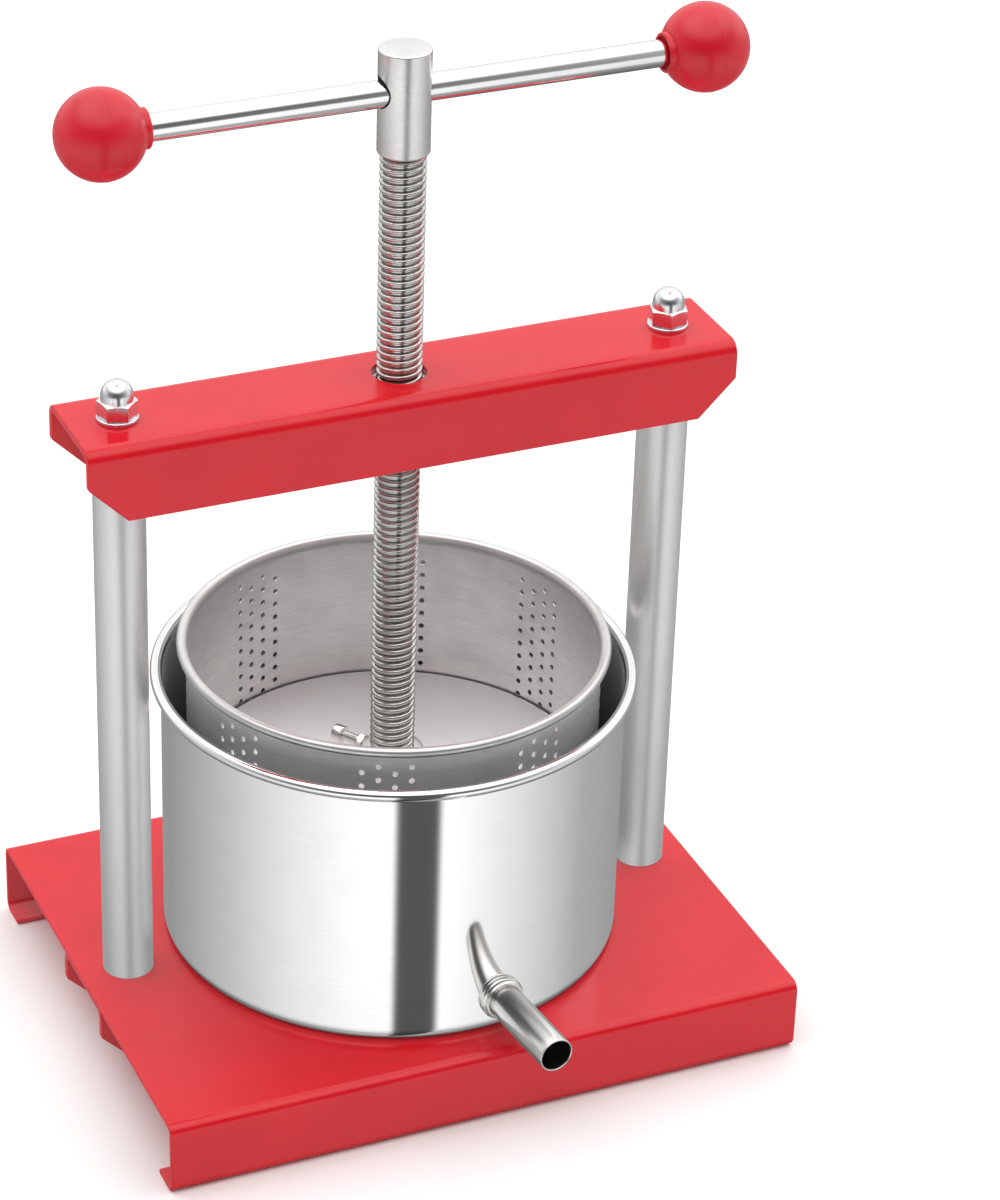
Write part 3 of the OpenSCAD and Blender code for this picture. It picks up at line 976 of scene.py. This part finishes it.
def handle_bar():
    """Polished round bar."""
    lo, hi = low("handle_bar"), high("handle_bar")
    radius, length = (hi.z - lo.z) / 2, hi.x - lo.x
    path = rounded([(0, -length / 2), (radius, -length / 2), (radius, length / 2), (0, length / 2)], 0.8, 3)
    obj = turned("grip_bar", path, 96)
    place(obj, middle("handle_bar"), axis=(1, 0, 0))
    return add_piece(obj, CHROME, "handle", "handle_bar")


def knob(source, side):
    """Ball knob with a mould seam, and a short recessed collar round the bar."""
    lo, hi = low(source), high(source)
    seam = 0.12
    radius = (hi.z - lo.z) / 2 - seam
    bore, collar, collar_end, recess = 6.6, 9.5, 21.6, 8.0
    centre_x = middle(source).x + side * (collar_end - radius - seam) / 2
    ball = []
    for k in range(0, 156, 3):
        angle = math.radians(180 - k)
        ball.append((radius * math.sin(angle), radius * math.cos(angle)))
    beside_seam = [math.radians(a) for a in (91.0, 90.4, 89.6, 89.0)]
    flat = [(radius * math.sin(a), radius * math.cos(a)) for a in beside_seam]
    join = math.sqrt(radius ** 2 - collar ** 2)
    back = [(0, -radius)] + [p for p in ball[1:] if p[1] < -0.5]
    front = [p for p in ball if 0.5 < p[1] < join - 0.6]
    ball = back + flat[:2] + [(radius + seam, 0)] + flat[2:] + front
    mouth = rounded([(collar, join - 0.2), (collar, collar_end), (recess, collar_end),
                     (recess, collar_end - 2), (bore, collar_end - 2), (bore, 0)], [0.5, 0.3, 0.2, 0.2], 3)
    obj = turned("ball_" + ("right" if side > 0 else "left"), ball + mouth + [(0, 0)], 128)
    place(obj, (centre_x, middle(source).y, middle(source).z), axis=(-side, 0, 0))
    return add_piece(obj, KNOB, "handle", source)


# ---------------------------------------------------------------- CAD pieces that stay

def keep(name, material):
    """A CAD node that is right as it is, in a better material."""
    obj = frame["nodes"][name]
    obj.data.materials.clear()
    obj.data.materials.append(material)


base_plate()
cross_beam("beam_under", "lower_beam", 0)
cross_beam("beam_over", "upper_beam", 13.0)
post("post_left")
post("post_right")
screw_nut()
washers("upper_washers", "washer_top")
washers("lower_washers", "washer_low")
cap_nut("left", math.radians(-18))
cap_nut("right", math.radians(15))
pot()
spout()
spout_collar()
basket()
press_disc()
disc_hub()
press_screw()
retaining_screw()
screw_head()
handle_bar()
knob("knob_left", -1)
knob("knob_right", 1)
keep("tie_bolts", ZINC)
keep("lock_nut", SPOUT)


# ---------------------------------------------------------------- studio

FLOOR_HALF = 4.0
# The pot mirrors only the studio, so the pieces round its foot are left out of reflections.
UNREFLECTED = ("stand_base", "beam_under", "post_left_tube", "post_right_tube", "washer_low_left",
               "washer_low_right")

for name in UNREFLECTED:
    bpy.data.objects[name].visible_glossy = False
frame["nodes"]["tie_bolts"].visible_glossy = False


def floor():
    """Plain pale floor, just under the feet."""
    bm = bmesh.new()
    bmesh.ops.create_grid(bm, x_segments=8, y_segments=8, size=FLOOR_HALF)
    mesh = bpy.data.meshes.new("floor")
    bm.to_mesh(mesh)
    bm.free()
    obj = bpy.data.objects.new("floor", mesh)
    scene.collection.objects.link(obj)
    obj.location = (0, 0, -0.0003)
    material, _, bsdf = shader("pale_floor")
    bsdf.inputs["Base Color"].default_value = (0.93, 0.93, 0.93, 1)
    bsdf.inputs["Roughness"].default_value = 0.9
    bsdf.inputs["Specular IOR Level"].default_value = 0.0
    mesh.materials.append(material)
    obj.visible_glossy = False


CAMERA_AZIMUTH = math.radians(-22.9)
CAMERA_ELEVATION = math.radians(30.14)
CAMERA_ROLL = math.radians(1.17)
CAMERA_PLACE = Vector((-0.6631, -1.5798, 1.2144))
CAMERA_LENS = 122.1
CAMERA_SHIFT = 0.081


def camera():
    """Fixed camera with its roll and its shifted centre."""
    a, e = CAMERA_AZIMUTH, CAMERA_ELEVATION
    back = Vector((math.sin(a) * math.cos(e), -math.cos(a) * math.cos(e), math.sin(e)))
    right = Vector((math.cos(a), math.sin(a), 0))
    up = back.cross(right)
    tilted_right = right * math.cos(CAMERA_ROLL) + up * math.sin(CAMERA_ROLL)
    tilted_up = up * math.cos(CAMERA_ROLL) - right * math.sin(CAMERA_ROLL)
    data = bpy.data.cameras.new("camera")
    data.lens = CAMERA_LENS
    data.sensor_width = 36
    data.shift_x = CAMERA_SHIFT
    data.clip_start, data.clip_end = 0.05, 60
    obj = bpy.data.objects.new("camera", data)
    scene.collection.objects.link(obj)
    turn = Matrix((tilted_right, tilted_up, back)).transposed().to_4x4()
    obj.matrix_world = Matrix.Translation(CAMERA_PLACE) @ turn
    scene.camera = obj


# (degrees to the right of the camera's side of the studio, brightness), as polished walls see it
STUDIO = [(-180, 0.30), (-145, 0.33), (-120, 0.42), (-88, 0.60), (-50, 0.92), (-20, 1.15), (1.5, 1.22),
          (4.5, 0.10), (23.5, 0.10), (26.5, 1.22), (46, 1.05), (80, 0.73), (110, 0.46), (145, 0.38),
          (180, 0.30)]
CEILING = 1.8
BACK_WALL, FRONT_WALL, SIDE_WALL_EXTRA = 1.05, 0.08, 0.3
TABLE_SHADE = 0.42


def world():
    """A white studio: below the horizon the walls that polished steel shows, above it walls and ceiling."""
    made = bpy.data.worlds.new("studio")
    made.use_nodes = True
    tree = made.node_tree
    background = tree.nodes["Background"]
    direction = node(tree, "ShaderNodeTexCoord").outputs["Generated"]
    parts = node(tree, "ShaderNodeSeparateXYZ")
    tree.links.new(direction, parts.inputs[0])
    a = CAMERA_AZIMUTH
    front = maths(tree, "ADD", maths(tree, "MULTIPLY", parts.outputs[0], math.sin(a)),
                  maths(tree, "MULTIPLY", parts.outputs[1], -math.cos(a)))
    side = maths(tree, "ADD", maths(tree, "MULTIPLY", parts.outputs[0], math.cos(a)),
                 maths(tree, "MULTIPLY", parts.outputs[1], math.sin(a)))
    angle = maths(tree, "ARCTAN2", side, front)
    ramp = node(tree, "ShaderNodeValToRGB")
    tree.links.new(remap(tree, angle, 0, 1, -math.pi, math.pi), ramp.inputs[0])
    stops = ramp.color_ramp.elements
    while len(stops) < len(STUDIO):
        stops.new(0.5)
    for stop, (degrees, value) in zip(stops, STUDIO):
        stop.position = (degrees + 180) / 360
        stop.color = (value, value, value, 1)
    up = parts.outputs[2]
    side_light = maths(tree, "MULTIPLY", maths(tree, "MULTIPLY", side, side), SIDE_WALL_EXTRA)
    walls = maths(tree, "ADD", remap(tree, front, BACK_WALL, FRONT_WALL, -0.7, 0.6), side_light)
    overhead = remap(tree, up, 0, 1, 0.55, 0.8)
    ceiling = maths(tree, "ADD", maths(tree, "MULTIPLY", walls, maths(tree, "SUBTRACT", 1.0, overhead)),
                    maths(tree, "MULTIPLY", overhead, CEILING))
    table = maths(tree, "MULTIPLY", ramp.outputs[0], remap(tree, up, TABLE_SHADE, 1.0, -0.72, -0.58))
    blend = node(tree, "ShaderNodeMix", data_type="FLOAT")
    tree.links.new(remap(tree, up, 0, 1, -0.08, 0.08), blend.inputs[0])
    tree.links.new(table, blend.inputs[FLOAT_A])
    tree.links.new(ceiling, blend.inputs[FLOAT_B])
    tree.links.new(blend.outputs[0], background.inputs["Color"])
    background.inputs["Strength"].default_value = 1.0
    scene.world = made


def softbox(name, position, aim, size, power):
    """A rectangular light that faces aim."""
    data = bpy.data.lights.new(name, "AREA")
    data.shape = "RECTANGLE"
    data.size, data.size_y = size
    data.energy = power
    obj = bpy.data.objects.new(name, data)
    scene.collection.objects.link(obj)
    obj.location = position
    obj.rotation_mode = "QUATERNION"
    obj.rotation_quaternion = (Vector(aim) - Vector(position)).to_track_quat("-Z", "Y")


floor()
camera()
world()
softbox("key", (-1.0, 0.3, 2.6), (0, 0, 0.2), (1.6, 1.6), 5)
softbox("fill", (1.8, 0.1, 1.6), (0, 0, 0.2), (1.2, 1.8), 4)
scene.view_settings.view_transform = "Standard"
scene.view_settings.look = "None"
